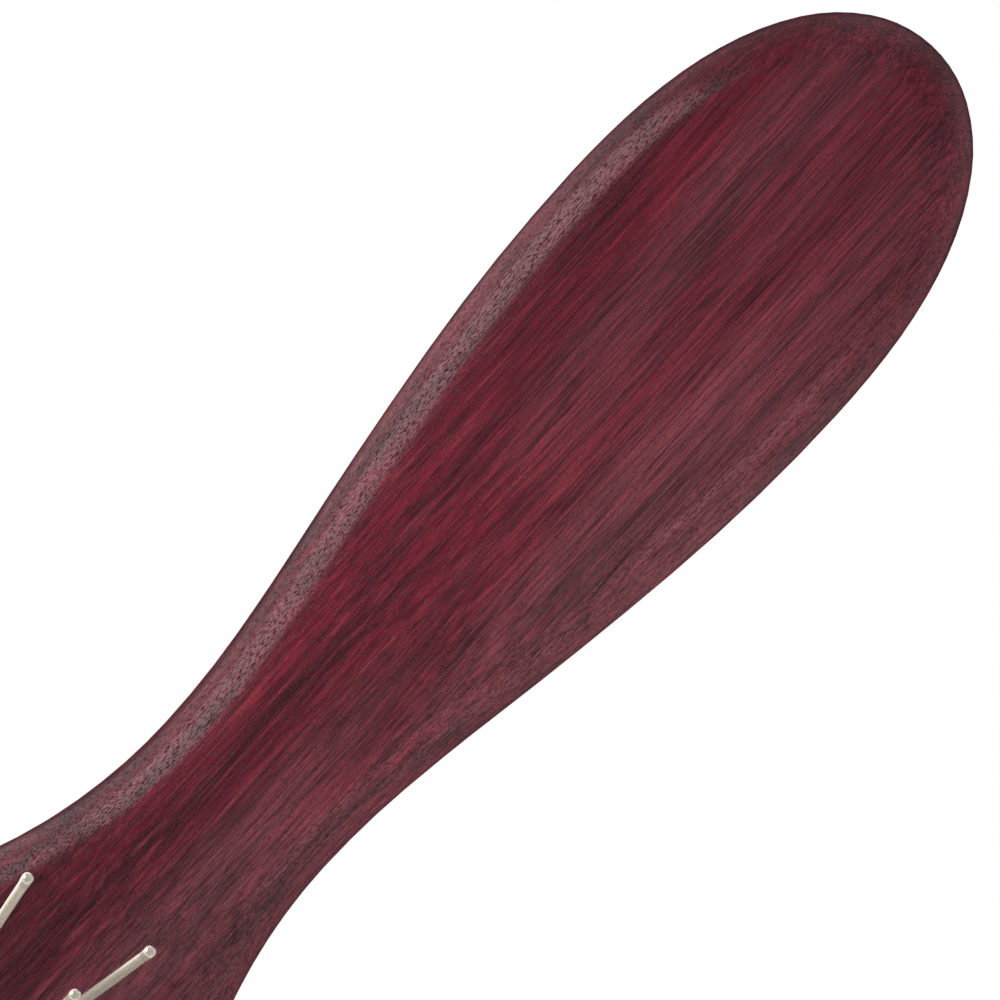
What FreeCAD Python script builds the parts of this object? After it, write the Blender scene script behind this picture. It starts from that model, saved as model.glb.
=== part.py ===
import FreeCAD, Part
import math
import os
import Sketcher
from FreeCAD import Placement, Rotation, Vector

# An oval pin brush for a pet's coat, lying on its back with its pins up.
#
# Millimetres, +Z up. The origin is on the flat back, under the middle of the
# pad. +X runs along the brush to the end of its handle, +Y to its left.
#
# The pieces are the wooden body, the domed air cushion that is held in an
# undercut recess of its head, a felt sheet under the cushion, and the pins,
# each with a flat head that bears on the cushion from below.

SIZES = [
    # name, value, what it is
    ("body_thickness", 17.0, "back to face, at the head and the grip"),
    ("neck_beyond", 32.2, "from the end of the recess's mouth to the narrowest place"),
    ("handle_length", 101.7, "from the narrowest place to the end"),
    ("end_back", 6.7, "from the handle's end to its rounded shoulder"),
    ("end_width", 23.2, "width at that shoulder"),
    ("end_angle", 35.0, "angle of the outline there, degrees"),
    ("taper_back", 18.7, "from the handle's end to the start of the taper"),
    ("taper_width", 33.2, "width there"),
    ("taper_angle", 12.2, "angle of the outline there, degrees"),
    ("grip_back", 33.7, "from the handle's end to the widest place of the grip"),
    ("grip_width", 36.0, "width of the grip at its widest"),
    ("waist_ahead", 22.5, "from the neck to the steepest place of the grip's side"),
    ("waist_width", 26.3, "width there"),
    ("waist_angle", 9.9, "angle of the outline there, degrees"),
    ("neck_width", 21.5, "width of the neck"),
    ("flare_behind", 30.0, "from the neck to the steepest place of the head's side"),
    ("flare_width", 39.2, "width there"),
    ("flare_angle", 33.0, "angle of the outline there, degrees"),
    ("rim_width", 7.0, "wood round the mouth, at the head's sides and far end"),
    ("dip_behind", 31.0, "from the neck back to where the face starts to dip"),
    ("dip_ahead", 46.0, "from the neck on to where the face is level again"),
    ("face_dip", 2.4, "how far the face dips at the neck"),
    ("back_rise", 1.4, "how far the back rises at the neck"),
    ("face_round", 5.4, "radius that rounds the edge of the face"),
    ("back_round", 6.6, "radius that rounds the edge of the back"),
    ("opening_length", 93.6, "length of the recess's mouth"),
    ("opening_width", 54.0, "width of the mouth"),
    ("opening_end_radius", 24.0, "radius of the mouth's ends, seen from above"),
    ("floor_thickness", 7.0, "wood under the recess"),
    ("lip_thickness", 2.5, "wood over the undercut groove"),
    ("groove_height", 2.5, "height of the undercut groove"),
    ("groove_reach", 2.5, "how far the groove goes under the lip"),
    ("cushion_rise", 9.2, "height of the dome over the face"),
    ("cushion_wall", 2.0, "thickness of the rubber"),
    ("crown_radius", 300.0, "radius along the dome in its middle"),
    ("slope_run", 22.8, "length of its steeper ends, from the mouth's ends inward"),
    ("cushion_gap", 0.1, "between the rubber and the wood"),
    ("vent_diameter", 1.5, "air hole in the cushion"),
    ("pin_length", 35.0, "from the rubber to the pin's tip"),
    ("pin_diameter", 1.1, "shaft of a pin"),
    ("tip_diameter", 1.26, "its rounded tip"),
    ("tip_height", 0.4, "height of the tip's dome"),
    ("tip_neck", 1.6, "length over which the shaft swells to the tip"),
    ("nail_diameter", 2.2, "flat head of a pin, under the rubber"),
    ("nail_thickness", 0.6, "thickness of that head"),
    ("nail_gap", 0.45, "between that head and what is over and under it"),
    ("hole_gap", 0.05, "all round a pin in its hole in the rubber"),
    ("pitch_along", 8.6, "from pin to pin in one line along the pad"),
    ("pitch_across", 7.3, "from line to line across the pad"),
    ("pin_margin", 3.75, "least distance from a pin to the mouth's edge"),
    ("tip_scatter", 1.1, "how far a tip strays at most from square to the dome"),
    ("felt_thickness", 1.2, "felt sheet under the cushion"),
    ("felt_gap", 0.3, "between the felt's edge and the cushion's skirt"),
]

doc = FreeCAD.newDocument("pin_brush")
sheet = doc.addObject("Spreadsheet::Sheet", "sizes")
for row, (name, value, note) in enumerate(SIZES, start=1):
    sheet.set("A%d" % row, name)
    sheet.set("B%d" % row, str(value))
    sheet.set("C%d" % row, note)
    sheet.setAlias("B%d" % row, name)
doc.recompute()


def size(name):
    return float(sheet.get(name))


# Plane geometry: chains of tangent arcs

def arc(centre, start, end, turns_left):
    """One arc of a chain, and which of its ends come first and last."""
    first, last = (start, end) if turns_left else (end, start)
    low = math.atan2(first.y - centre.y, first.x - centre.x)
    high = math.atan2(last.y - centre.y, last.x - centre.x)
    if high <= low:
        high += 2 * math.pi
    circle = Part.Circle(centre, Vector(0, 0, 1), (start - centre).Length)
    ends = (1, 2) if turns_left else (2, 1)
    return Part.ArcOfCircle(circle, low, high), ends


def line(start, end):
    return Part.LineSegment(start, end), (1, 2)


def half_biarc(point, tangent, other, forward):
    """The arc that is tangent at point and passes through other."""
    side = Vector(-tangent.y, tangent.x, 0)
    chord = other - point
    reach = 2 * side.dot(chord)
    start, end = (point, other) if forward else (other, point)
    if abs(reach) < 1e-4 * chord.Length:
        return line(start, end)
    swing = chord.dot(chord) / reach
    return arc(point + side * swing, start, end, swing > 0)


def biarc(start, start_way, end, end_way):
    """Two arcs that join two stations and are tangent to each other."""
    chord = end - start
    along = chord.dot(start_way + end_way)
    bend = 2 * (1 - start_way.dot(end_way))
    if bend > 1e-9:
        reach = (math.sqrt(along ** 2 + bend * chord.dot(chord)) - along) / bend
    else:
        reach = chord.dot(chord) / (4 * chord.dot(end_way))
    joint = (start + start_way * reach + end - end_way * reach) * 0.5
    return [half_biarc(start, start_way, joint, True),
            half_biarc(end, end_way, joint, False)]


def heading(degrees):
    return Vector(math.cos(math.radians(degrees)), math.sin(math.radians(degrees)), 0)


def chain(stations):
    """Tangent arcs through stations, each a point and a heading."""
    pieces = []
    for (start, start_way), (end, end_way) in zip(stations, stations[1:]):
        pieces += biarc(start, heading(start_way), end, heading(end_way))
    return pieces


def oval(half_length, half_width, end_radius, grown=0.0):
    """Four tangent arcs, left turns all, grown outward by a parallel offset."""
    centre = half_length - end_radius
    spare = half_width - end_radius
    sink = (centre ** 2 - spare ** 2) / (2 * spare)
    radius = end_radius + grown
    leg = math.hypot(centre, sink)
    joint = Vector(centre + radius * centre / leg, radius * sink / leg, 0)
    corners = [Vector(joint.x, -joint.y, 0), joint,
               Vector(-joint.x, joint.y, 0), Vector(-joint.x, -joint.y, 0)]
    centres = [Vector(centre, 0, 0), Vector(0, -sink, 0),
               Vector(-centre, 0, 0), Vector(0, sink, 0)]
    return [arc(centres[i], corners[i], corners[(i + 1) % 4], True) for i in range(4)]


def mouth(grown=0.0):
    """The mouth of the recess, or a parallel to it."""
    return oval(size("opening_length") / 2, size("opening_width") / 2,
                size("opening_end_radius"), grown)


# Sketches and bodies

def new_body(name):
    body = doc.addObject("PartDesign::Body", name)
    body.Label = name
    return body


def new_sketch(body, name, role, height=None, shift="z"):
    """A sketch on one of its body's origin planes, lifted by an expression."""
    sketch = body.newObject("Sketcher::SketchObject", name)
    plane = [f for f in body.Origin.OriginFeatures if f.Role == role][0]
    sketch.AttachmentSupport = [(plane, "")]
    sketch.MapMode = "FlatFace"
    if height is not None:
        sketch.setExpression("AttachmentOffset.Base." + shift, height)
    return sketch


def add_chain(sketch, pieces, closed=True):
    """Put a chain of arcs and lines in a sketch, each tied to the next."""
    first = sketch.GeometryCount
    for piece, ends in pieces:
        sketch.addGeometry(piece, False)
    count = len(pieces)
    for i in range(count if closed else count - 1):
        j = (i + 1) % count
        sketch.addConstraint(Sketcher.Constraint(
            "Coincident", first + i, pieces[i][1][1], first + j, pieces[j][1][0]))
    return first


def tie(sketch, kind, where, value, name, expression):
    """A dimension of a sketch, bound to the sheet."""
    index = sketch.addConstraint(Sketcher.Constraint(kind, *where, value))
    sketch.renameConstraint(index, name)
    sketch.setExpression("Constraints." + name, expression)


def mouth_sketch(body, name, grown, expression, height):
    """A parallel to the mouth, with its end radius and centres bound."""
    sketch = new_sketch(body, name, "XY_Plane", height)
    add_chain(sketch, mouth(grown))
    for i in (0, 2):
        sketch.addConstraint(Sketcher.Constraint("PointOnObject", i, 3, -1))
    sketch.addConstraint(Sketcher.Constraint("PointOnObject", 1, 3, -2))
    centre = size("opening_length") / 2 - size("opening_end_radius")
    radius = size("opening_end_radius") + grown
    half = "(sizes.opening_length / 2 - sizes.opening_end_radius)"
    tie(sketch, "DistanceX", (-1, 1, 0, 3), centre, "near_centre", half)
    tie(sketch, "DistanceX", (2, 3, -1, 1), centre, "far_centre", half)
    tie(sketch, "Radius", (0,), radius, "near_end",
        "sizes.opening_end_radius + " + expression)
    return sketch


def feature(body, kind, name, sketch, **bound):
    made = body.newObject("PartDesign::" + kind, name)
    made.Profile = sketch
    for prop, expression in bound.items():
        made.setExpression(prop, expression)
    return made


# Wooden body

body_size = size("body_thickness")
neck = size("opening_length") / 2 + size("neck_beyond")
tail = neck + size("handle_length")


def body_outline():
    """The outline, from the handle's end round the head and back."""
    stations = [
        (tail, 0, 90),
        (tail - size("end_back"), size("end_width") / 2, 180 - size("end_angle")),
        (tail - size("taper_back"), size("taper_width") / 2, 180 - size("taper_angle")),
        (tail - size("grip_back"), size("grip_width") / 2, 180),
        (neck + size("waist_ahead"), size("waist_width") / 2, 180 + size("waist_angle")),
        (neck, size("neck_width") / 2, 180),
        (neck - size("flare_behind"), size("flare_width") / 2, 180 - size("flare_angle")),
        (0, size("opening_width") / 2 + size("rim_width"), 180),
    ]
    stations = [(Vector(x, y, 0), way) for x, y, way in stations]
    near = chain(stations)
    far = chain([(Vector(p.x, -p.y, 0), 180 - way) for p, way in reversed(stations)])
    left_side, far_end, right_side = [piece for piece, _ in mouth(size("rim_width"))[1:]]
    widest = stations[-1][0]
    opposite = Vector(widest.x, -widest.y, 0)
    return near + [arc(left_side.Center, widest, left_side.EndPoint, True),
                   arc(far_end.Center, far_end.StartPoint, far_end.EndPoint, True),
                   arc(right_side.Center, right_side.StartPoint, opposite, True)] + far


def side_cut(sketch, level, depth, outward):
    """The space over a dip in the face, or under the rise of the back."""
    stations = [(Vector(neck - size("dip_behind"), level, 0), 0),
                (Vector(neck, level - depth, 0), 0),
                (Vector(neck + size("dip_ahead"), level, 0), 0)]
    pieces = chain(stations)
    start, end = stations[0][0], stations[-1][0]
    rise = Vector(0, outward, 0)
    pieces += [line(end, end + rise), line(end + rise, start + rise),
               line(start + rise, start)]
    add_chain(sketch, pieces)


wood = new_body("wooden_body")
outline = new_sketch(wood, "outline", "XY_Plane")
add_chain(outline, body_outline())
block = feature(wood, "Pad", "block", outline, Length="sizes.body_thickness")
for name, level, depth, outward in (
        ("face_dip_cut", body_size, size("face_dip"), 8.0),
        ("back_rise_cut", 0.0, -size("back_rise"), -8.0)):
    sketch = new_sketch(wood, name + "_sketch", "XZ_Plane")
    side_cut(sketch, level, depth, outward)
    cut = feature(wood, "Pocket", name, sketch)
    cut.SideType = "Symmetric"
    cut.setExpression("Length", "2 * (sizes.grip_width + sizes.rim_width)")
doc.recompute()


def rim_edges(shape, upper):
    """Names of the edges that run round the face, or round the back."""
    names = []
    for i, edge in enumerate(shape.Edges, start=1):
        start, end = edge.Vertexes[0].Point, edge.Vertexes[-1].Point
        upright = math.hypot(end.x - start.x, end.y - start.y) < 1e-6
        across = abs(end.x - start.x) < 1e-6 and start.y * end.y < 0
        if not upright and not across and (start.z > body_size / 2) == upper:
            names.append("Edge%d" % i)
    return names


for name, upper, radius in (("face_round_over", True, "sizes.face_round"),
                            ("back_round_over", False, "sizes.back_round")):
    base = wood.Tip
    rounded = wood.newObject("PartDesign::Fillet", name)
    rounded.Base = (base, rim_edges(base.Shape, upper))
    rounded.setExpression("Radius", radius)
    doc.recompute()

recess_sketch = mouth_sketch(wood, "recess_sketch", 0.0, "0", "sizes.body_thickness")
feature(wood, "Pocket", "recess", recess_sketch,
        Length="sizes.body_thickness - sizes.floor_thickness")
groove_sketch = mouth_sketch(wood, "groove_sketch", size("groove_reach"),
                             "sizes.groove_reach",
                             "sizes.body_thickness - sizes.lip_thickness")
feature(wood, "Pocket", "undercut_groove", groove_sketch, Length="sizes.groove_height")

# The dome of the cushion: a profile turned about a line under the brush,
# parallel to X, so that it meets the face at the mouth's sides and ends

rise = size("cushion_rise")
half_mouth = size("opening_width") / 2
half_span = size("opening_length") / 2
dome_radius = (half_mouth ** 2 + rise ** 2) / (2 * rise)
dome_axis = body_size + rise - dome_radius
AXIS = ("sizes.body_thickness + sizes.cushion_rise - ((sizes.opening_width / 2) ^ 2"
        " + sizes.cushion_rise ^ 2) / (2 * sizes.cushion_rise)")

half_crown = half_span - size("slope_run")
crown_low = dome_radius - size("crown_radius")
crown_lean = math.asin(half_crown / size("crown_radius"))
crown_edge = crown_low + size("crown_radius") * math.cos(crown_lean)
run = half_span - half_crown
fall = crown_edge - (dome_radius - rise)
end_radius = (run ** 2 + fall ** 2) / (2 * (fall * math.cos(crown_lean)
                                            - run * math.sin(crown_lean)))
end_centre = half_crown - end_radius * math.sin(crown_lean)
end_low = crown_edge - end_radius * math.cos(crown_lean)


def dome_profile(sunk, span):
    """The dome's profile from -span to span, sunk under its outer face."""
    def on_end(x):
        reach = end_radius - sunk
        return end_low + math.sqrt(reach ** 2 - (x - end_centre) ** 2)
    knee = Vector(size("crown_radius") - sunk, 0, 0)
    knee = Vector(knee.x * math.sin(crown_lean),
                  crown_low + knee.x * math.cos(crown_lean), 0)
    tip = Vector(span, on_end(span), 0)
    left_knee, left_tip = Vector(-knee.x, knee.y, 0), Vector(-tip.x, tip.y, 0)
    return [arc(Vector(-end_centre, end_low, 0), left_tip, left_knee, False),
            arc(Vector(0, crown_low, 0), left_knee, knee, False),
            arc(Vector(end_centre, end_low, 0), knee, tip, False)], left_tip, tip


def dome_cut(body, name, sunk, outward):
    """Take away all that is outside the sunken dome, or all inside it."""
    sketch = new_sketch(body, name + "_sketch", "XZ_Plane", AXIS, "y")
    pieces, left, right = dome_profile(sunk, 1.01 * half_span)
    level = 1.4 * dome_radius if outward else 0.1 * dome_radius
    corner = Vector(right.x, level, 0)
    other = Vector(left.x, level, 0)
    add_chain(sketch, pieces + [line(right, corner), line(corner, other),
                                line(other, left)])
    cut = body.newObject("PartDesign::Groove", name)
    cut.Profile = sketch
    cut.ReferenceAxis = (sketch, ["H_Axis"])
    cut.Angle = 360
    return cut


# Rubber cushion

shell = new_body("cushion_shell")
plug_sketch = mouth_sketch(shell, "plug_sketch", -size("cushion_gap"),
                           "0 - sizes.cushion_gap",
                           "sizes.body_thickness - sizes.lip_thickness"
                           " - sizes.groove_height + sizes.cushion_gap")
feature(shell, "Pad", "plug", plug_sketch,
        Length="sizes.lip_thickness + sizes.groove_height + sizes.cushion_rise")
dome_cut(shell, "dome", 0.0, True)
flange_sketch = mouth_sketch(shell, "flange_sketch",
                             size("groove_reach") - size("cushion_gap"),
                             "sizes.groove_reach - sizes.cushion_gap",
                             "sizes.body_thickness - sizes.lip_thickness"
                             " - sizes.groove_height + sizes.cushion_gap")
feature(shell, "Pad", "flange", flange_sketch,
        Length="sizes.groove_height - 2 * sizes.cushion_gap")

air = new_body("air_space")
air_sketch = mouth_sketch(air, "air_sketch", -size("cushion_gap") - size("cushion_wall"),
                          "0 - sizes.cushion_gap - sizes.cushion_wall",
                          "sizes.floor_thickness")
feature(air, "Pad", "air_plug", air_sketch,
        Length="sizes.body_thickness + sizes.cushion_rise - sizes.floor_thickness")
dome_cut(air, "air_dome", size("cushion_wall"), True)
hollow = doc.addObject("Part::Cut", "hollow_cushion")
hollow.Base = shell
hollow.Tool = air

# Felt sheet, over the air space and under the pins' heads

felt_sunk = size("cushion_wall") + 2 * size("nail_gap") + 1.2 * size("nail_thickness")
felt = new_body("felt_backing")
felt_grown = size("cushion_gap") + size("cushion_wall") + size("felt_gap")
felt_sketch = mouth_sketch(felt, "felt_sketch", -felt_grown,
                           "0 - sizes.cushion_gap - sizes.cushion_wall - sizes.felt_gap",
                           "sizes.floor_thickness")
feature(felt, "Pad", "felt_plug", felt_sketch,
        Length="sizes.body_thickness + sizes.cushion_rise - sizes.floor_thickness")
dome_cut(felt, "felt_top", felt_sunk, True)
dome_cut(felt, "felt_underside", felt_sunk + size("felt_thickness"), False)


# Pins

def on_dome(x, y):
    """The point of the dome over x, y, and the way that is square to it."""
    if abs(x) <= half_crown:
        centre, low, radius = 0.0, crown_low, size("crown_radius")
    else:
        centre, low, radius = math.copysign(end_centre, x), end_low, end_radius
    lean = math.asin((x - centre) / radius)
    height = low + radius * math.cos(lean)
    up = math.sqrt(height ** 2 - y ** 2)
    square = Vector(math.sin(lean), math.cos(lean) * y / height,
                    math.cos(lean) * up / height)
    return Vector(x, y, dome_axis + up), square


def inside_margin(x, y):
    """Whether a pin at x, y keeps its margin from the mouth's edge."""
    x, y = abs(x), abs(y)
    end = size("opening_end_radius")
    centre = half_span - end
    spare = half_mouth - end
    sink = (centre ** 2 - spare ** 2) / (2 * spare)
    if (x - centre) * sink > y * centre:
        return math.hypot(x - centre, y) <= end - size("pin_margin")
    return math.hypot(x, y + sink) <= half_mouth + sink - size("pin_margin")


# How far the tips of some pins near the neck stray, along X and Y, as shares
# of a pin's length: by line across, then by place from the neck's end.
BENT = {
    (0, 0): (-0.017, -0.108), (0, 1): (0.040, -0.033), (0, 2): (0.012, 0.023),
    (1, 0): (0.053, -0.073), (1, 1): (0.010, 0.017),
    (-1, 0): (-0.012, -0.029), (-1, 1): (0.016, -0.011),
}


def shoulder_lean(x):
    """The share of its length by which a tip leans out on the shoulder.

    The pins tip over where the dome turns down to its ends. It is a hump
    over the foot's X, highest at 0.705 of the way to the mouth's end.
    """
    away = (abs(x) / half_span - 0.705) / 0.19
    return math.copysign(0.29 * math.exp(-away ** 2), x)


def pin_places():
    """The foot of each pin on the dome and the way that it points."""
    along, across = size("pitch_along"), size("pitch_across")
    lines = int(half_mouth / across)
    places = []
    for lane in range(-lines, lines + 1):
        offset = 0.5 * along * (lane % 2)
        steps = int(half_span / along) + 1
        spots = [offset + along * k for k in range(-steps - 1, steps + 1)]
        spots = [x for x in spots if inside_margin(x, lane * across)]
        for place, x in enumerate(sorted(spots, reverse=True)):
            foot, square = on_dome(x, lane * across)
            turn = 2.4 * (7 * lane + 5 * place)
            stray = size("tip_scatter") * (0.55 + 0.45 * math.sin(1.7 * turn))
            shift = Vector(stray * math.cos(turn), stray * math.sin(turn), 0)
            if (lane, place) in BENT:
                shift = Vector(*BENT[lane, place], 0) * size("pin_length")
            shift += Vector(shoulder_lean(x), 0, 0) * size("pin_length")
            way = square * size("pin_length") + shift
            places.append((foot, way.normalize()))
    return places


def pin_sketch(body):
    """Half a pin, from the underside of its head to its tip."""
    shaft, tip = size("pin_diameter") / 2, size("tip_diameter") / 2
    nail = size("nail_diameter") / 2
    top, dome = size("pin_length"), size("tip_height")
    seat = -size("cushion_wall") - size("nail_gap")
    points = [Vector(*p, 0) for p in (
        (0, seat - size("nail_thickness")), (nail, seat - size("nail_thickness")),
        (nail, seat), (shaft, seat), (shaft, top - dome - size("tip_neck")),
        (tip, top - dome), (0, top))]
    pieces = [line(a, b) for a, b in zip(points[:5], points[1:6])]
    ball = (tip ** 2 + dome ** 2) / (2 * dome)
    pieces.append(arc(Vector(0, top - ball, 0), points[5], points[6], True))
    pieces.append(line(points[6], points[0]))
    sketch = new_sketch(body, "pin_profile", "XZ_Plane")
    add_chain(sketch, pieces)
    for i in (0, 2):
        sketch.addConstraint(Sketcher.Constraint("Horizontal", i))
    for i in (1, 3):
        sketch.addConstraint(Sketcher.Constraint("Vertical", i))
    sketch.addConstraint(Sketcher.Constraint("PointOnObject", 5, 3, -2))
    sketch.addConstraint(Sketcher.Constraint("PointOnObject", 6, 1, -2))
    sketch.addConstraint(Sketcher.Constraint("PointOnObject", 6, 2, -2))
    tie(sketch, "DistanceY", (-1, 1, 6, 1), top, "reach", "sizes.pin_length")
    tie(sketch, "DistanceX", (-1, 1, 3, 1), shaft, "shaft", "sizes.pin_diameter / 2")
    tie(sketch, "DistanceX", (-1, 1, 4, 2), tip, "tip", "sizes.tip_diameter / 2")
    tie(sketch, "DistanceX", (-1, 1, 1, 1), nail, "nail", "sizes.nail_diameter / 2")
    tie(sketch, "DistanceY", (4, 2, 6, 1), dome, "tip_dome", "sizes.tip_height")
    tie(sketch, "DistanceY", (4, 1, 4, 2), size("tip_neck"), "swell", "sizes.tip_neck")
    tie(sketch, "DistanceY", (1, 1, 1, 2), size("nail_thickness"), "nail_depth",
        "sizes.nail_thickness")
    tie(sketch, "DistanceY", (2, 1, -1, 1), -seat, "seat",
        "sizes.cushion_wall + sizes.nail_gap")
    return sketch


places = pin_places()
pins, drills = [], []
for number, (foot, way) in enumerate(places, start=1):
    set_in = Placement(foot, Rotation(Vector(0, 0, 1), way))
    if number == 1:
        pin = new_body("pin_01")
        turned = feature(pin, "Revolution", "turned_pin", pin_sketch(pin))
        turned.ReferenceAxis = (turned.Profile[0], ["V_Axis"])
        turned.Angle = 360
    else:
        pin = doc.addObject("App::Link", "pin_%02d" % number)
        pin.LinkedObject = pins[0]
        pin.LinkTransform = False
        pin.Label = pin.Name
    pin.Placement = set_in
    pins.append(pin)
    drill = doc.addObject("Part::Cylinder", "drill_%02d" % number)
    drill.setExpression("Radius", "sizes.pin_diameter / 2 + sizes.hole_gap")
    drill.setExpression("Height", "2.5 * sizes.cushion_wall")
    deep = foot - way * 1.5 * size("cushion_wall")
    drill.Placement = Placement(deep, set_in.Rotation)
    drills.append(drill)

vent = doc.addObject("Part::Cylinder", "vent")
vent.setExpression("Radius", "sizes.vent_diameter / 2")
vent.setExpression("Height", "3 * sizes.cushion_wall")
vent_foot, vent_way = on_dome(size("pitch_along") / 2, 0)
vent.Placement = Placement(vent_foot - vent_way * 1.5 * size("cushion_wall"),
                           Rotation(Vector(0, 0, 1), vent_way))
holes = doc.addObject("Part::Compound", "holes")
holes.Links = drills + [vent]
cushion = doc.addObject("Part::Cut", "rubber_cushion")
cushion.Label = "rubber_cushion"
cushion.Base = hollow
cushion.Tool = holes
doc.recompute()

# Checks and export

for thing in doc.Objects:
    if "Invalid" in thing.State or "Error" in thing.State:
        raise RuntimeError("%s failed: %s" % (thing.Name, thing.State))

os.makedirs("parts", exist_ok=True)
for piece in [wood, cushion, felt] + pins:
    shape = Part.getShape(piece)
    if shape.isNull() or not shape.isValid() or len(shape.Solids) != 1:
        raise RuntimeError("%s has no sound shape" % piece.Label)
    shape.exportStep("parts/%s.step" % piece.Label)
print("%d pins, dome radius %.2f, end radius %.2f, axis at %.2f"
      % (len(pins), dome_radius, end_radius, dome_axis))
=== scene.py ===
# %% [markdown]
# # An oval pin brush
#
# The brush lies on its back with its pins up. Its stained wooden body has a
# shaped grip, its head holds a domed air cushion of rubber, and polished
# wire pins stand in the cushion. All the solids come from the imported frame,
# which is loaded first. Nothing here should grow past them.
#
# All lengths are in metres, unless a comment says otherwise.

# %% Load the frame
import math

import bmesh
import bpy
import numpy as np
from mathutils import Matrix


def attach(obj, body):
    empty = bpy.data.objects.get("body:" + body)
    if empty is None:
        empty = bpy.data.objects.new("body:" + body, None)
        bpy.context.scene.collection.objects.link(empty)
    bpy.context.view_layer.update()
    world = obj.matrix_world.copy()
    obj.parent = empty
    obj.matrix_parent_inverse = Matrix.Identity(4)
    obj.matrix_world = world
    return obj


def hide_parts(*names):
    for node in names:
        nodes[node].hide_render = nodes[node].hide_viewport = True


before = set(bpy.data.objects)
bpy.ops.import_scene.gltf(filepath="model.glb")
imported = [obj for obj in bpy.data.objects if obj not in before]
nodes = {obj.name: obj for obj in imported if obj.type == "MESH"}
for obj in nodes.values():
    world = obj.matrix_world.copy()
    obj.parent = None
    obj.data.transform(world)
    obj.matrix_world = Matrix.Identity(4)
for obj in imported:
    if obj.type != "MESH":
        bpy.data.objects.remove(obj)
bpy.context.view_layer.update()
pin_names = sorted(name for name in nodes if name.startswith("pin_"))
print("frame:", len(nodes), "nodes,", len(pin_names), "of them pins")

# %% [markdown]
# ## The camera
#
# The picture was taken from straight above the grip, and nothing in it gets
# smaller with distance. A camera with parallel sight lines would do for this
# one picture. A camera that is far away, with a very long lens, sees a brush
# in nearly the same way, and it still works when it is moved round the
# object, so it is used here. It is turned about its own line of sight, so
# that the brush runs up to the right.

# %% Camera
WIDTH_SEEN = 0.1                        # of the brush, across the picture
LENS, SENSOR = 1500.0, 36.0             # millimetres
RUN_ANGLE = math.radians(47.5)          # of the brush, up to the right
LOOK_AT = (0.11800, 0.00109, 0.0120)    # a point inside the grip

camera_data = bpy.data.cameras.new("view_from_above")
camera_data.lens = LENS
camera_data.sensor_width = SENSOR
camera_data.clip_start = 0.1
camera_data.clip_end = 200.0
camera = bpy.data.objects.new("view_from_above", camera_data)
distance = WIDTH_SEEN * LENS / SENSOR
camera.location = (LOOK_AT[0], LOOK_AT[1], LOOK_AT[2] + distance)
camera.rotation_euler = (0.0, 0.0, -RUN_ANGLE)
bpy.context.scene.collection.objects.link(camera)
bpy.context.scene.camera = camera
print("camera %.2f m above the grip" % distance)


# %% [markdown]
# ## Lamps
#
# The picture has a bare white ground and soft light. A window close by at its
# upper left draws a pale band along the rounded left edge of the wood, which
# fades towards the end of the grip because the window is so near. A large
# card at the lower right fills the shade; it is kept out of the gloss, and a
# small faint lamp there gives the pins their second glint. The world gives
# the even part.

# %% Lamps
def image_direction(right, up, towards):
    """A direction in the picture as one in the frame.

    Right and up are turned back by the angle of the camera about its line
    of sight; the part towards the camera is straight up.
    """
    c, s = math.cos(RUN_ANGLE), math.sin(RUN_ANGLE)
    return np.array([right * c + up * s, up * c - right * s, towards])


def area_lamp(name, direction, distance, side, watts):
    """A square lamp that faces the brush from a direction in the picture."""
    lamp = bpy.data.lights.new(name, "AREA")
    lamp.size = side
    lamp.energy = watts
    holder = bpy.data.objects.new(name, lamp)
    way = image_direction(*direction)
    way /= np.linalg.norm(way)
    holder.location = np.array(LOOK_AT) + way * distance
    flat = math.hypot(way[0], way[1])
    holder.rotation_euler = (math.atan2(flat, way[2]), 0.0,
                             math.atan2(way[1], way[0]) + math.pi / 2)
    holder.visible_camera = False
    bpy.context.scene.collection.objects.link(holder)
    return holder


area_lamp("window_left", direction=(-0.83, 0.58, 0.52),
          distance=0.29, side=0.26, watts=0.60)
area_lamp("glint_right", direction=(0.62, -0.60, 0.80),
          distance=1.0, side=0.24, watts=0.16)
bounce = area_lamp("bounce_right", direction=(0.74, -0.68, 0.80),
                   distance=1.2, side=1.2, watts=8.2)
bounce.visible_glossy = False
print("lamps: a window, a faint glint and a large card")


# %% [markdown]
# ## The room
#
# Camera rays see the floor and the world as white, so the lamps need not be
# bright enough to bleach them, and the brush keeps the strength of its own
# colour. Gloss sees another room: pale walls low down and a dark ceiling,
# which is what a lacquered face mirrors to a camera right above it. The
# walls are palest beyond the head, at the picture's lower left.
#
# Both are made of nodes, so a few helpers come first. They add a node to a
# tree, feed it, and give back what comes out of it.

# %% Node helpers
def feed(tree, value, socket):
    """Gives a socket a number, a colour, or a link from another socket."""
    if isinstance(value, float):
        socket.default_value = value
    elif isinstance(value, tuple):
        socket.default_value = (*value, 1.0)
    else:
        tree.links.new(value, socket)


def parts_of(tree, kind):
    """X, Y and Z of the texture coordinates of one kind."""
    parts = tree.nodes.new("ShaderNodeSeparateXYZ")
    source = tree.nodes.new("ShaderNodeTexCoord")
    tree.links.new(source.outputs[kind], parts.inputs[0])
    return parts.outputs


def map_range(tree, source, start, end, first, last):
    """A number taken from one range to another, and held at both ends."""
    made = tree.nodes.new("ShaderNodeMapRange")
    for value, socket in zip((source, start, end, first, last), made.inputs):
        feed(tree, value, socket)
    return made.outputs[0]


def arithmetic(tree, operation, *values):
    """One sum or product of numbers and sockets."""
    made = tree.nodes.new("ShaderNodeMath")
    made.operation = operation
    for value, socket in zip(values, made.inputs):
        feed(tree, value, socket)
    return made.outputs[0]


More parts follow.
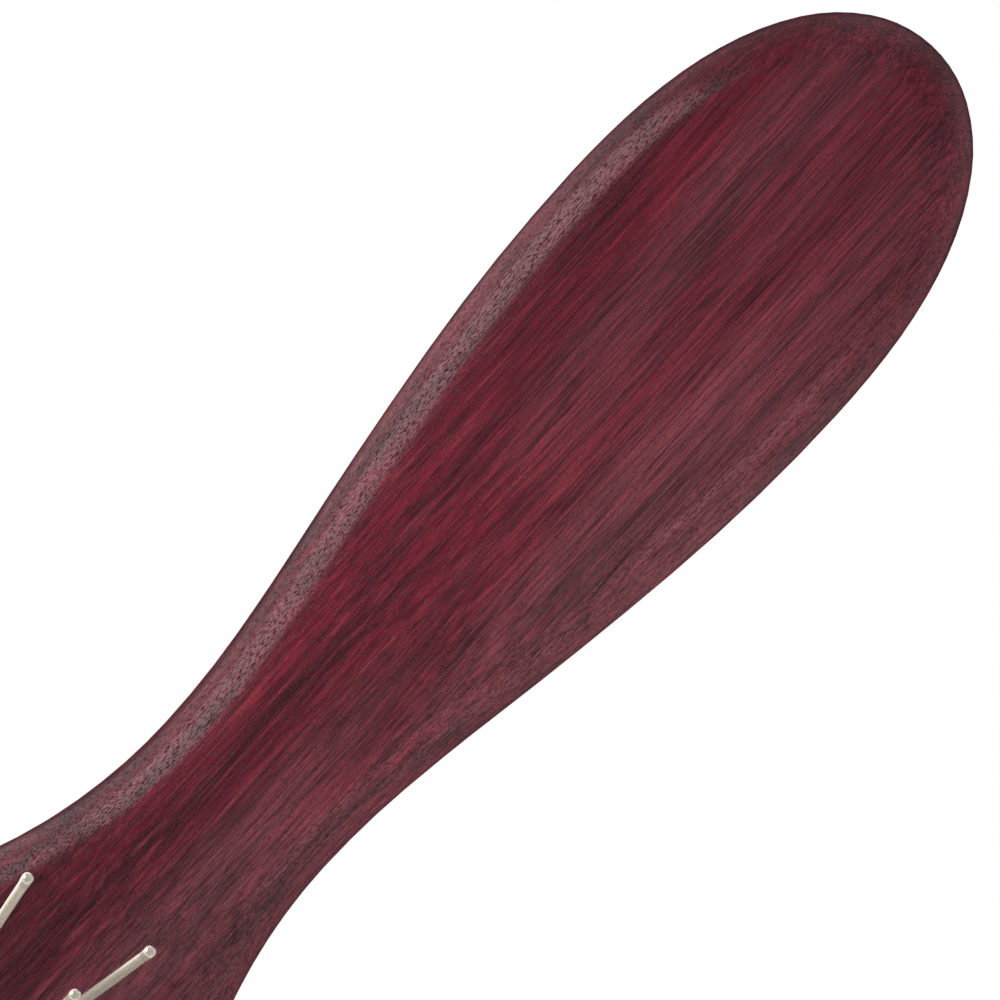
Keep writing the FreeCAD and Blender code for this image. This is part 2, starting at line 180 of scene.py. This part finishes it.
def choose(tree, factor, first, second):
    """The second shader where the factor is one, and else the first."""
    made = tree.nodes.new("ShaderNodeMixShader")
    for value, socket in zip((factor, first, second), made.inputs):
        feed(tree, value, socket)
    return made.outputs[0]


# %% World
world = bpy.data.worlds.new("studio")
bpy.context.scene.world = world
world.use_nodes = True
sky = world.node_tree
sky.nodes.clear()


def sky_light(strength):
    """White light from all round; its strength is a number or a socket."""
    made = sky.nodes.new("ShaderNodeBackground")
    made.inputs["Color"].default_value = (1.0, 1.0, 1.0, 1.0)
    feed(sky, strength, made.inputs["Strength"])
    return made.outputs[0]


way = parts_of(sky, "Generated")
walls = map_range(sky, way["X"], -1.0, 0.3, 1.00, 0.35)
height = map_range(sky, way["Z"], 0.0, 0.5, 1.0, 0.06)
room = sky_light(arithmetic(sky, "MULTIPLY", walls, height))
ray = sky.nodes.new("ShaderNodeLightPath").outputs
lit = choose(sky, ray["Is Glossy Ray"], sky_light(0.62), room)
seen = choose(sky, ray["Is Camera Ray"], lit, sky_light(1.0))
out = sky.nodes.new("ShaderNodeOutputWorld")
sky.links.new(seen, out.inputs["Surface"])

bpy.context.scene.view_settings.view_transform = "Standard"
print("world:", len(sky.nodes), "nodes")


# %% [markdown]
# ## The floor
#
# The floor is pale card, which the camera sees as white. In the gloss it
# glows with a painted reflection: it is painted dark next to the wood, a
# painted shade for the brush's own, and that draws the thin dark line that
# the real brush has round its edge.
#
# Its mesh, and that of every piece after it, comes from whole arrays of
# points and of the point numbers of each face.

# %% A mesh from arrays
SEAM = 1e-7     # points this near to each other become one


def mesh_piece(name, points, faces, smooth=True):
    """A mesh object at the origin from arrays of points and four-sided faces.

    Points that coincide at a pole or a seam become one, and all faces of a
    closed shell are turned outwards.
    """
    mesh = bpy.data.meshes.new(name)
    mesh.vertices.add(len(points))
    mesh.vertices.foreach_set("co", np.asarray(points, np.float32).ravel())
    faces = np.asarray(faces, np.int32)
    count = len(faces)
    mesh.loops.add(faces.size)
    mesh.loops.foreach_set("vertex_index", faces.ravel())
    mesh.polygons.add(count)
    mesh.polygons.foreach_set("loop_start", np.arange(count, dtype=np.int32) * 4)
    mesh.polygons.foreach_set("loop_total", np.full(count, 4, np.int32))
    mesh.update(calc_edges=True)
    shell = bmesh.new()
    shell.from_mesh(mesh)
    bmesh.ops.remove_doubles(shell, verts=shell.verts, dist=SEAM)
    if count > 1:
        bmesh.ops.recalc_face_normals(shell, faces=shell.faces)
    shell.to_mesh(mesh)
    shell.free()
    mesh.polygons.foreach_set("use_smooth", np.full(len(mesh.polygons), smooth))
    made = bpy.data.objects.new(name, mesh)
    bpy.context.scene.collection.objects.link(made)
    return made


def ring_faces(index):
    """Four-sided faces between neighbouring rings of point numbers.

    The last axis of the numbers runs round a ring, which closes, and the
    axis before it goes from ring to ring.
    """
    after = np.roll(index, -1, axis=-1)
    faces = np.stack([index[..., :-1, :], index[..., 1:, :],
                      after[..., 1:, :], after[..., :-1, :]], axis=-1)
    return faces.reshape(-1, 4)


# %% Floor
FLOOR_HALF = 3.0        # half of its side
FLOOR_DROP = 0.0004     # how far it lies under the brush
CARD_GREY = (0.82, 0.82, 0.82, 1.0)
WHITENESS = 0.975       # share of white the camera sees; the rest is shaded


def floor_material():
    """White to the camera, with a faint shadow, and pale card to the light.

    Gloss sees a painted reflection instead, glowing by itself: painted shade
    close to where its ray left the wood and pale further off, painted dimmer
    to the right of the brush, the more so by the head, and past the end of
    its grip, and white under the head, where the pins mirror it.
    """
    made = bpy.data.materials.new("floor_card")
    made.use_nodes = True
    tree = made.node_tree
    tree.nodes.clear()
    place = parts_of(tree, "Object")
    ray = tree.nodes.new("ShaderNodeLightPath").outputs
    # Strengths of the painted reflection in the gloss, where 1 is white: left
    # and right of the brush, from the one to the other, from the painted shade
    # at the edge to both, and at the head.
    left = map_range(tree, place["X"], 0.135, 0.180, 1.15, 0.30)
    right = map_range(tree, place["X"], 0.06, 0.13, 0.0, 0.34)
    far = map_range(tree, place["Y"], -0.03, 0.03, right, left)
    # Painted shade: the reflection is dark where a ray has come only a short way from
    # the wood.
    near = map_range(tree, ray["Ray Length"], 0.0145, 0.0230, 0.02, far)
    strength = map_range(tree, place["X"], -0.04, 0.05, 0.95, near)
    card = tree.nodes.new("ShaderNodeBsdfDiffuse")
    card.inputs["Color"].default_value = CARD_GREY
    painted_reflection = tree.nodes.new("ShaderNodeEmission")
    tree.links.new(strength, painted_reflection.inputs["Strength"])
    white = tree.nodes.new("ShaderNodeEmission")
    lit = choose(tree, ray["Is Glossy Ray"], card.outputs[0], painted_reflection.outputs[0])
    share = arithmetic(tree, "MULTIPLY", ray["Is Camera Ray"], WHITENESS)
    seen = choose(tree, share, lit, white.outputs[0])
    out = tree.nodes.new("ShaderNodeOutputMaterial")
    tree.links.new(seen, out.inputs["Surface"])
    return made


def paint(piece, material):
    """Takes a piece's materials away and gives it this one."""
    piece.data.materials.clear()
    piece.data.materials.append(material)


corners = [(-1, -1), (1, -1), (1, 1), (-1, 1)]
floor = mesh_piece("floor", [(FLOOR_HALF * x, FLOOR_HALF * y, -FLOOR_DROP)
                             for x, y in corners], [(0, 1, 2, 3)], smooth=False)
paint(floor, floor_material())
print("floor: %.0f m square" % (2 * FLOOR_HALF))

# %% [markdown]
# ## Stained wood
#
# Light, fine-pored wood is stained a deep burgundy and gets a satin lacquer.
# Stain sinks in unevenly, so broad dark and red streaks follow the grain, a
# finer figure glows through them, and short dark pores lie along it. Each of
# these is one noise, stretched along X, because the grain runs along the
# brush. A picture of wood wrapped round the brush would show a seam. Noises
# on object coordinates go through the wood from face to back, as real grain
# does, so the wood is made of them.
#
# One side of the grip is crimson stain. The other is painted a softer,
# greyer rose: a painted sheen, standing in for the lacquer's reflection on
# that side. The end of the grip, the head, and the neck's rose side where it
# runs into the head are painted darker: painted shade, where the lamps light
# them less. The lacquer doesn't fill the pores: they stay rough and a little
# sunk, so they show as dark specks in the pale band, where the window's light
# glances off the rounded edge.


# %% Material helpers
def new_material(name):
    """An empty material with its output, and a shader that it shows."""
    made = bpy.data.materials.new(name)
    made.use_nodes = True
    tree = made.node_tree
    tree.nodes.clear()
    out = tree.nodes.new("ShaderNodeOutputMaterial")
    shader = tree.nodes.new("ShaderNodeBsdfPrincipled")
    tree.links.new(shader.outputs[0], out.inputs["Surface"])
    return made, tree, shader


def stretched_noise(tree, scale, detail, roughness, warp=0.0):
    """A noise on object coordinates, drawn out by a scale for each axis."""
    source = tree.nodes.new("ShaderNodeTexCoord")
    squeeze = tree.nodes.new("ShaderNodeMapping")
    squeeze.inputs["Scale"].default_value = scale
    noise = tree.nodes.new("ShaderNodeTexNoise")
    noise.inputs["Scale"].default_value = 1.0
    noise.inputs["Detail"].default_value = detail
    noise.inputs["Roughness"].default_value = roughness
    noise.inputs["Distortion"].default_value = warp
    tree.links.new(source.outputs["Object"], squeeze.inputs["Vector"])
    tree.links.new(squeeze.outputs["Vector"], noise.inputs["Vector"])
    return noise.outputs["Fac"]


def ramp(tree, source, stops):
    """A ramp from (place, colour) stops, where a number stands for a grey."""
    made = tree.nodes.new("ShaderNodeValToRGB")
    while len(made.color_ramp.elements) < len(stops):
        made.color_ramp.elements.new(0.5)
    for stop, (place, colour) in zip(made.color_ramp.elements, stops):
        stop.position = place
        grey = (colour, colour, colour)
        stop.color = (*(colour if isinstance(colour, tuple) else grey), 1.0)
    tree.links.new(source, made.inputs["Fac"])
    return made.outputs["Color"]


def blend_colours(tree, kind, factor, first, second):
    """Two colours mixed; the factor and the colours are values or sockets."""
    made = tree.nodes.new("ShaderNodeMix")
    made.data_type = "RGBA"
    made.blend_type = kind
    feed(tree, factor, made.inputs["Factor"])
    feed(tree, first, made.inputs[6])
    feed(tree, second, made.inputs[7])
    return made.outputs[2]


def add_relief(tree, shader, height, strength, depth):
    """Roughens a shader's surface by a height, up to a depth."""
    relief = tree.nodes.new("ShaderNodeBump")
    relief.inputs["Strength"].default_value = strength
    relief.inputs["Distance"].default_value = depth
    tree.links.new(height, relief.inputs["Height"])
    tree.links.new(relief.outputs["Normal"], shader.inputs["Normal"])


# %% The wood's grain and stain
# Each noise: its scales along and across the grain, detail and roughness.
GRAIN = {
    "broad": ((13.0, 80.0, 60.0), 2.0, 0.5),
    "streaks": ((26.0, 400.0, 320.0), 5.0, 0.6, 0.3),   # with a little warp
    "threads": ((60.0, 1500.0, 1200.0), 4.0, 0.6),
    "lines": ((90.0, 4000.0, 3600.0), 3.0, 0.62),
    "flecks": ((120.0, 2000.0, 1800.0), 4.0, 0.62),
    "curl": ((300.0, 4200.0, 3800.0), 3.0, 0.65),
    "pores": ((1700.0, 9000.0, 9000.0), 1.0, 0.5),
}
# The crimson stain of one side and the rose painted sheen of the other, from dark
# streaks to bright ones.
CRIMSON = [(0.34, (0.082, 0.0100, 0.0190)),
           (0.50, (0.158, 0.0125, 0.0275)),
           (0.66, (0.228, 0.0135, 0.0330))]
SHEEN_ROSE = [(0.34, (0.116, 0.0360, 0.0460)),
        (0.50, (0.200, 0.0460, 0.0620)),
        (0.66, (0.272, 0.0550, 0.0720))]
THREAD, FLECK = (0.360, 0.0420, 0.0630), (0.062, 0.0115, 0.0190)
# What the stain is multiplied by: where it stays, and where painted shade darkens it.
CLEAR = (1.0, 1.0, 1.0)
PAINTED_SHADE_END, PAINTED_SHADE_CORNER = (0.70, 0.50, 0.64), (0.72, 0.85, 0.85)
# Painted sheen: the rose on the side towards -Y stands in for the lacquer's greyish
# reflection there.
SHEEN_SLOPE = -9.0       # how fast crimson turns to rose along Y
# Painted shade: the head and the neck next to it are painted darker, further along on
# the side towards -Y.
CORNER_SLANT = 0.8      # how much of Y joins X where the corner deepens
print("wood:", len(GRAIN), "noises along the grain")


# %% Stained wood
def stained_wood():
    """Burgundy stain over streaks, flecks, figure and pores, all along X.

    The crimson stain, the rose painted sheen, the threads and the flecks are
    mixed first. Then the figure and the pores darken them, and the painted
    shade at the end of the grip and by the head comes last.
    """
    made, tree, shader = new_material("stained_wood")
    place = parts_of(tree, "Object")
    noise = {name: stretched_noise(tree, *look) for name, look in GRAIN.items()}
    # Painted sheen: rose is painted over the side towards -Y, standing in for the
    # lacquer's reflection; the broad noise moves its border.
    side = arithmetic(tree, "MULTIPLY_ADD", place["Y"], SHEEN_SLOPE, noise["broad"])
    body = blend_colours(tree, "MIX", map_range(tree, side, 0.42, 0.60, 0.0, 1.0),
                         ramp(tree, noise["streaks"], CRIMSON),
                         ramp(tree, noise["streaks"], SHEEN_ROSE))
    for kind, first, last, colour in (("threads", 0.52, 0.68, THREAD),
                                      ("flecks", 0.54, 0.66, FLECK)):
        share = map_range(tree, noise[kind], first, last, 0.0, 0.55)
        body = blend_colours(tree, "MIX", share, body, colour)
    figure = ramp(tree, noise["lines"], [(0.38, 0.32), (0.56, 1.0)])
    cloud = ramp(tree, noise["curl"], [(0.36, 0.32), (0.56, 1.0)])
    pores = ramp(tree, noise["pores"], [(0.40, 0.0), (0.46, 1.0)])
    slant = arithmetic(tree, "MULTIPLY_ADD", place["Y"], CORNER_SLANT, place["X"])
    # Painted shade: the end of the grip is painted darker, where the window's light
    # falls off.
    end = blend_colours(tree, "MIX",
                        map_range(tree, place["X"], 0.128, 0.168, 0.0, 1.0),
                        CLEAR, PAINTED_SHADE_END)
    # Painted shade: the head, and the neck further along on its side towards -Y, are
    # painted darker, where the lamps reach less.
    painted_shade_corner = blend_colours(tree, "MIX",
                           map_range(tree, slant, 0.060, 0.100, 1.0, 0.0),
                           CLEAR, PAINTED_SHADE_CORNER)
    for share, shade in ((0.66, figure), (0.42, cloud), (0.46, pores),
                         (1.0, end), (1.0, painted_shade_corner)):
        body = blend_colours(tree, "MULTIPLY", share, body, shade)
    tree.links.new(body, shader.inputs["Base Color"])
    skin = blend_colours(tree, "MULTIPLY", 0.25, pores, cloud)
    gloss = ramp(tree, skin, [(0.0, 0.95), (0.6, 0.36), (1.0, 0.24)])
    tree.links.new(gloss, shader.inputs["Roughness"])
    add_relief(tree, shader, pores, strength=0.7, depth=0.00002)
    return made


wood = nodes["wooden_body"]
paint(wood, stained_wood())
print("wood:", len(wood.data.polygons), "faces of the frame, stained")

# %% [markdown]
# ## The pins
#
# A pin is drawn steel wire with a polished, slightly swollen tip. Cylinders
# would do from far away, but close up they lack the tip's dome and its
# swelling. So a pin is a profile turned about its own axis, and one mesh
# holds them all. The axis of each one is found from its solid in the frame:
# the point that lies furthest along it is the top of the tip, and the middle
# of its lowest ring is the middle of its flat head.


# %% Pin axes
LOWEST_BAND = 0.0002    # points this near to the lowest are the head's face


def pin_axis(node):
    """The middle of a pin's flat head and the top of its tip.

    The long direction is the first singular vector of the solid's points,
    pointing up. The lowest points along it make the head's lower face.
    """
    mesh = node.data
    points = np.empty(len(mesh.vertices) * 3, np.float32)
    mesh.vertices.foreach_get("co", points)
    points = np.unique(np.round(points.reshape(-1, 3).astype(float), 7), axis=0)
    away = points - points.mean(axis=0)
    along = np.linalg.svd(away, full_matrices=False)[2][0]
    along *= np.sign(along[2])
    reach = away @ along
    top = points[np.argmax(reach)]
    low = points[reach < reach.min() + LOWEST_BAND]
    return low.mean(axis=0), top


axes = np.array([pin_axis(nodes[name]) for name in pin_names])
lengths = np.linalg.norm(axes[:, 1] - axes[:, 0], axis=1)
print("pins: %.1f to %.1f mm long" % (1000 * lengths.min(), 1000 * lengths.max()))


# %% Pin surface
TIP_HEIGHT, TIP_RADIUS = 0.00042, 0.00062
SWELL_LENGTH, SHAFT_RADIUS = 0.0016, 0.00055
HEAD_THICKNESS, HEAD_RADIUS = 0.0006, 0.0011
SOFT_EDGE, FILLET = 0.0001, 0.00007     # of the head, and where it joins


def turned_pins(axes, profile, around=20):
    """All the pins in one mesh: a profile turned about each pin's axis.

    A point is the top of the tip, less the profile's depth along the axis,
    plus its radius times the cosine and sine of the turn along two
    directions square to the axis. The profile starts and ends on the axis,
    where one point closes each end.
    """
    foot, top = axes[:, 0], axes[:, 1]
    way = (top - foot) / np.linalg.norm(top - foot, axis=1, keepdims=True)
    side = np.cross(way, [0.0, 1.0, 0.0])
    side /= np.linalg.norm(side, axis=1, keepdims=True)
    other = np.cross(way, side)
    turn = np.linspace(0.0, 2 * np.pi, around, endpoint=False)
    depth, radius = profile[:, 0], profile[:, 1]
    ring = (side[:, None, None, :] * np.cos(turn)[None, None, :, None]
            + other[:, None, None, :] * np.sin(turn)[None, None, :, None])
    points = (top[:, None, None, :]
              - way[:, None, None, :] * depth[None, :, None, None]
              + ring * radius[None, :, None, None])
    pins, rings = len(axes), len(profile)
    index = np.arange(pins * rings * around).reshape(pins, rings, around)
    return points.reshape(-1, 3), ring_faces(index)


def pin_profile(length):
    """Depth under the tip and radius, from the tip's top to the flat head.

    The dome is a quarter of a flattened circle, the swelling fades into the
    shaft by half a cosine, and the head is a thin disc with a soft edge.
    """
    bend = np.linspace(0.0, np.pi / 2, 9)
    dome = np.stack([TIP_HEIGHT * (1 - np.cos(bend)),
                     TIP_RADIUS * np.sin(bend)], axis=1)
    fade = np.linspace(0.0, 1.0, 7)[1:]
    swollen = 0.5 * (1 + np.cos(np.pi * fade))
    swell = np.stack([TIP_HEIGHT + SWELL_LENGTH * fade,
                      SHAFT_RADIUS + (TIP_RADIUS - SHAFT_RADIUS) * swollen], axis=1)
    head = length - HEAD_THICKNESS
    base = np.array([[0.5 * head, SHAFT_RADIUS],
                     [head - SOFT_EDGE, SHAFT_RADIUS],
                     [head, SHAFT_RADIUS + FILLET],
                     [head + 0.3 * SOFT_EDGE, HEAD_RADIUS - 0.6 * SOFT_EDGE],
                     [head + SOFT_EDGE, HEAD_RADIUS],
                     [length - SOFT_EDGE, HEAD_RADIUS],
                     [length, HEAD_RADIUS - SOFT_EDGE],
                     [length, 0.0]])
    return np.concatenate([dome, swell, base])


points, faces = turned_pins(axes, pin_profile(float(lengths.mean())))
pins = mesh_piece("wire_pins", points, faces)
print("pins:", len(faces), "faces")


# %% [markdown]
# Drawn and polished wire is bright, with a slightly warm, nickel-like tone.
# The tips are polished more than the shafts, but at this size one roughness
# with a faint variation along the wire shows the same.

# %% Polished wire
def polished_wire():
    """Warm pale metal with faint uneven gloss."""
    made, tree, shader = new_material("polished_wire")
    cloud = stretched_noise(tree, (420.0, 420.0, 130.0), 2.0, 0.5)
    tint = ramp(tree, cloud, [(0.3, (0.86, 0.78, 0.65)), (0.7, (0.93, 0.85, 0.73))])
    tree.links.new(tint, shader.inputs["Base Color"])
    shader.inputs["Metallic"].default_value = 0.62
    gloss = ramp(tree, cloud, [(0.3, 0.20), (0.7, 0.14)])
    tree.links.new(gloss, shader.inputs["Roughness"])
    return made


paint(pins, polished_wire())
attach(pins, "root")
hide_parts(*pin_names)
print("pins: polished")

# %% [markdown]
# ## The air cushion
#
# A moulded rubber sheet is pushed into the undercut of the head by its edge,
# and the air under it keeps it domed. A cloth simulation could blow it up
# from a flat sheet, but moulded rubber has one exact shape, and the pins have
# to meet it. So it follows the frame's own curves: an oval of four tangent
# arcs, and a dome that is one profile turned about a line under the brush.
# The rubber draws up a little round each pin.

# %% The cushion's measures
MOUTH_HALF_LENGTH, MOUTH_HALF_WIDTH = 0.0468, 0.027
MOUTH_END = 0.024               # radius of the mouth's end arcs
FACE = 0.017                    # height of the face round the mouth
GAP, WALL = 0.0001, 0.002       # beside the rubber, and its thickness
RISE = 0.0092                   # of the dome's top over the face
CROWN = 0.300                   # radius of the dome's long middle arc
SLOPE_RUN = 0.0228              # run of the tighter arc at each end
FLANGE_TOP, FLANGE_FOOT = 0.0144, 0.0121    # heights
FLANGE_OUT = 0.0024             # how far it reaches into the undercut
BEVEL_IN, BEVEL_DOWN = 0.0002, 0.0003       # of the flange's upper edge
SKIRT_TOP, INSIDE_TOP = FACE - 0.0006, FACE - 0.0020    # heights of its walls

# The dome's radius across, and the height of the line it is turned about.
DOME = (MOUTH_HALF_WIDTH ** 2 + RISE ** 2) / (2 * RISE)
DOME_AXIS = FACE + RISE - DOME
# Where the middle arc ends: its X, its lean there, and its distance from
# the line.
KNEE = MOUTH_HALF_LENGTH - SLOPE_RUN
KNEE_LEAN = math.asin(KNEE / CROWN)
KNEE_RADIUS = DOME - CROWN + CROWN * math.cos(KNEE_LEAN)
# The end arc, tangent at the knee: its fall, its radius and its centre.
FALL = KNEE_RADIUS - (DOME - RISE)
END = (SLOPE_RUN ** 2 + FALL ** 2) / (2 * (FALL * math.cos(KNEE_LEAN)
                                           - SLOPE_RUN * math.sin(KNEE_LEAN)))
END_X = KNEE - END * math.sin(KNEE_LEAN)
END_LOW = KNEE_RADIUS - END * math.cos(KNEE_LEAN)
print("dome: %.1f mm high, ends with a radius of %.1f mm" % (1000 * RISE, 1000 * END))


# %% The cushion's curves
def dome_height(x, y, sunk=0.0):
    """Height of the dome over the points x, y, or of a parallel under it.

    Its radius about the line under the brush follows a long arc in the
    middle and a shorter one towards each end; the height over a point is
    the root of that radius squared less y squared.
    """
    x = np.abs(x)
    middle = DOME - CROWN + np.sqrt((CROWN - sunk) ** 2 - x ** 2)
    end = END_LOW + np.sqrt(np.maximum((END - sunk) ** 2 - (x - END_X) ** 2, 0.0))
    radius = np.where(x <= KNEE * (1 - sunk / CROWN), middle, end)
    return DOME_AXIS + np.sqrt(np.maximum(radius ** 2 - y ** 2, 0.0))


def mouth_curve(turn, grown=0.0):
    """Points of the mouth's oval for turning angles of its outward normal.

    Where the normal lies within the ends' share of the turn, the point is
    on an end arc about a centre on X, and else on a side arc about one on Y.
    """
    centre = MOUTH_HALF_LENGTH - MOUTH_END
    spare = MOUTH_HALF_WIDTH - MOUTH_END
    sink = (centre ** 2 - spare ** 2) / (2 * spare)
    cut = centre / math.hypot(centre, sink)
    c, s = np.cos(turn), np.sin(turn)
    on_end = np.abs(c) > cut
    radius = np.where(on_end, MOUTH_END, MOUTH_HALF_WIDTH + sink) + grown
    x = np.where(on_end, np.sign(c) * centre, 0.0) + radius * c
    y = np.where(on_end, 0.0, -np.sign(s) * sink) + radius * s
    return x, y


def even_turns(count):
    """Normal angles whose points lie evenly round the mouth."""
    turn = np.linspace(0.0, 2 * np.pi, 20001)
    x, y = mouth_curve(turn)
    run = np.concatenate([[0.0], np.cumsum(np.hypot(np.diff(x), np.diff(y)))])
    return np.interp(np.linspace(0.0, run[-1], count, endpoint=False), run, turn)


# %% Rubber round the pins
# The rise beside a shaft, where it starts to fall off, and how soon it does.
DRAWN_HEIGHT, DRAWN_START, DRAWN_WIDTH = 0.00022, 0.0006, 0.0007


def pin_feet(axes):
    """Where each pin's axis meets the dome, by a few steps along the axis."""
    foot, way = axes[:, 0], axes[:, 1] - axes[:, 0]
    way = way / np.linalg.norm(way, axis=1, keepdims=True)
    place = foot.copy()
    for _ in range(6):
        short = dome_height(place[:, 0], place[:, 1]) - place[:, 2]
        place = place + way * (short / way[:, 2])[:, None]
    return place


def drawn_up(x, y, feet):
    """How the rubber rises round a pin: a low ring that fades in 1.5 mm.

    The rise is a bell curve of the distance from the shaft's side.
    """
    near = np.min(np.hypot(x[..., None] - feet[:, 0], y[..., None] - feet[:, 1]),
                  axis=-1)
    away = np.maximum(near - DRAWN_START, 0.0) / DRAWN_WIDTH
    return DRAWN_HEIGHT * np.exp(-away ** 2)


feet = pin_feet(axes)
print("pins: they meet the rubber %.1f to %.1f mm up"
      % (1000 * feet[:, 2].min(), 1000 * feet[:, 2].max()))


# %% The cushion's surface
RIM_SHARE = 0.985       # past it the dome is too near its rim to be drawn up


def mouth_grid(turn, grown, share):
    """Points all over the mouth: its oval, grown, times each of the shares."""
    x, y = mouth_curve(turn, grown)
    return share[:, None] * x, share[:, None] * y


def cushion_surface(around=480, rings=112):
    """A closed shell: dome, skirt, flange and the underside of each.

    Each ring of points is the mouth's oval, shrunk towards the middle on
    the dome and moved in or out on the skirt and the flange.
    """
    turn = even_turns(around)
    share = np.sin(np.linspace(0.0, np.pi / 2, rings))
    x, y = mouth_grid(turn, -GAP, share)
    z = dome_height(x, y) + drawn_up(x, y, feet) * (share[:, None] < RIM_SHARE)
    rows = [np.stack([x, y, z], axis=-1)]
    inside = -GAP - WALL
    for grown, height in ((-GAP, SKIRT_TOP), (-GAP, FLANGE_TOP),
                          (FLANGE_OUT - BEVEL_IN, FLANGE_TOP),
                          (FLANGE_OUT, FLANGE_TOP - BEVEL_DOWN),
                          (FLANGE_OUT, FLANGE_FOOT), (inside, FLANGE_FOOT),
                          (inside, INSIDE_TOP)):
        x, y = mouth_curve(turn, grown)
        rows.append(np.stack([x, y, np.full_like(x, height)], axis=-1)[None])
    share = np.sin(np.linspace(np.pi / 2, 0.0, rings // 5))
    x, y = mouth_grid(turn, inside, share)
    rows.append(np.stack([x, y, dome_height(x, y, WALL)], axis=-1))
    points = np.concatenate(rows)
    index = np.arange(len(points) * around).reshape(len(points), around)
    return points.reshape(-1, 3), ring_faces(index)


points, faces = cushion_surface()
cushion = mesh_piece("air_cushion", points, faces)
print("cushion:", len(faces), "faces, its top at %.1f mm" % (1000 * points[:, 2].max()))


# %% [markdown]
# Grooming dusts the rubber, and moulding leaves it matt. A broad noise
# varies its tint and its gloss, and a fine one roughens the skin.

# %% Rubber
def matt_rubber():
    """Near-black rubber with a dry bloom."""
    made, tree, shader = new_material("matt_rubber")
    bloom = stretched_noise(tree, (90.0, 90.0, 90.0), 5.0, 0.6)
    skin = stretched_noise(tree, (2600.0, 2600.0, 2600.0), 2.0, 0.5)
    tint = ramp(tree, bloom, [(0.3, (0.013, 0.013, 0.014)),
                              (0.7, (0.027, 0.026, 0.027))])
    tree.links.new(tint, shader.inputs["Base Color"])
    gloss = ramp(tree, bloom, [(0.3, 0.36), (0.7, 0.54)])
    tree.links.new(gloss, shader.inputs["Roughness"])
    add_relief(tree, shader, skin, strength=0.25, depth=0.00005)
    return made


paint(cushion, matt_rubber())
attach(cushion, "root")
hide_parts("rubber_cushion")
print("cushion: in its mouth")

# %% [markdown]
# ## The felt
#
# A felt sheet lies under the pins' heads, inside the cushion. It could be
# made with fibres of its own, but nobody sees it there, so its solid stays,
# with the colour and the roughness of pressed felt.


# %% Felt
def pressed_felt():
    """Dark grey matted fibres."""
    made, tree, shader = new_material("pressed_felt")
    fibres = stretched_noise(tree, (1400.0, 1100.0, 1400.0), 5.0, 0.7, 2.0)
    tint = ramp(tree, fibres, [(0.3, (0.045, 0.045, 0.047)), (0.7, (0.12, 0.12, 0.12))])
    tree.links.new(tint, shader.inputs["Base Color"])
    shader.inputs["Roughness"].default_value = 0.95
    add_relief(tree, shader, fibres, strength=0.5, depth=0.0002)
    return made


paint(nodes["felt_backing"], pressed_felt())
print("felt: under the cushion")
